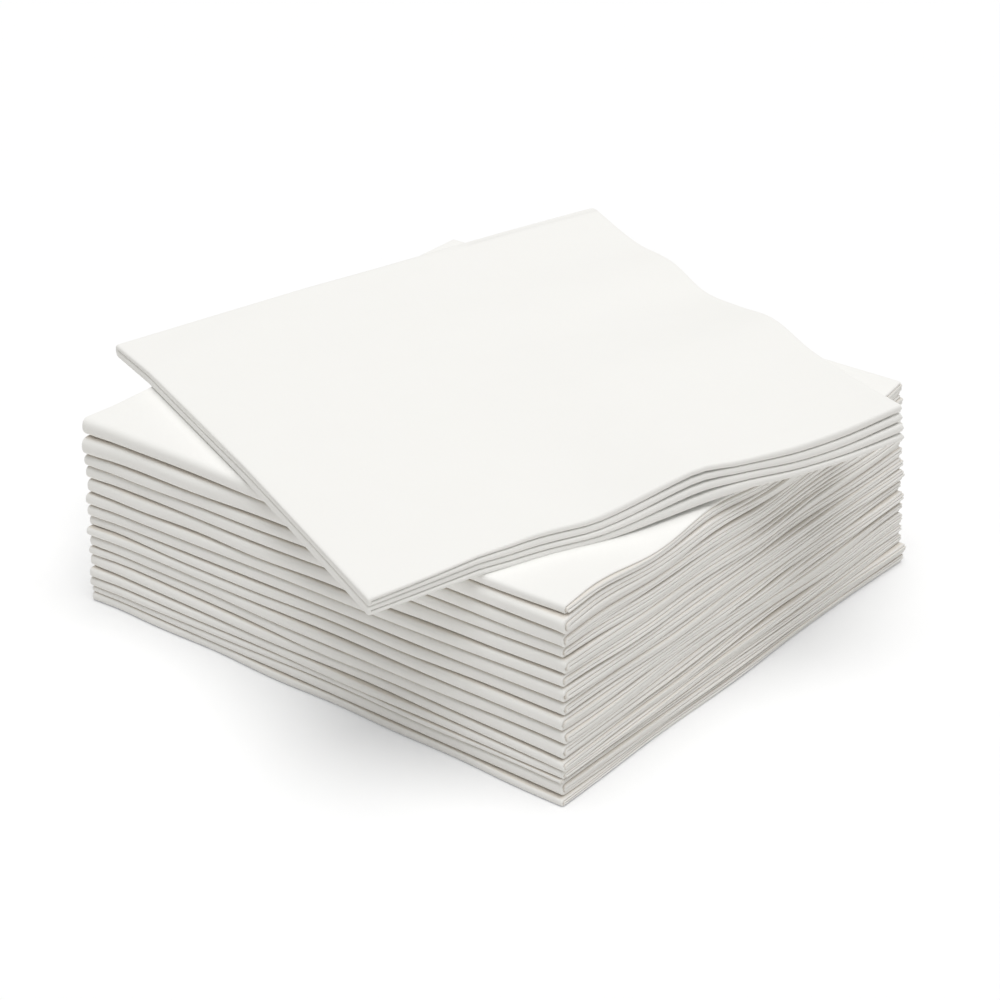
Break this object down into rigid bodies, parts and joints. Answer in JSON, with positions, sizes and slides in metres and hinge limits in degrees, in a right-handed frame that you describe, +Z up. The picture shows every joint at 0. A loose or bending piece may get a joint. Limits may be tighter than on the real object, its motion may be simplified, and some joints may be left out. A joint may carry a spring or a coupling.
{
  "type": "stack of paper napkins",
  "caption": "Squared stack of quarter-folded white paper napkins, each a sheet folded twice, with one more lying loose and turned on top.",
  "frame": {"origin": "middle of the underside of the lowest napkin, on the surface that the stack stands on", "axes": "+Z up; the stacked napkins' round second fold faces -Y and their cut sides face +X and +Y"},
  "size_m": [0.2093, 0.214, 0.069],
  "materials": {
    "stacked_napkin_paper": "soft matt embossed tissue",
    "loose_napkin_paper": "soft matt embossed tissue"
  },
  "bodies": {
    "root": {"stacked_napkin_01": "stacked_napkin_paper", "stacked_napkin_02": "stacked_napkin_paper", "stacked_napkin_03": "stacked_napkin_paper", "stacked_napkin_04": "stacked_napkin_paper", "stacked_napkin_05": "stacked_napkin_paper", "stacked_napkin_06": "stacked_napkin_paper", "stacked_napkin_07": "stacked_napkin_paper", "stacked_napkin_08": "stacked_napkin_paper", "stacked_napkin_09": "stacked_napkin_paper", "stacked_napkin_10": "stacked_napkin_paper", "stacked_napkin_11": "stacked_napkin_paper", "stacked_napkin_12": "stacked_napkin_paper", "stacked_napkin_13": "stacked_napkin_paper", "stacked_napkin_14": "stacked_napkin_paper", "stacked_napkin_15": "stacked_napkin_paper", "stacked_napkin_16": "stacked_napkin_paper", "loose_top_napkin": "loose_napkin_paper"}
  },
  "joints": []
}
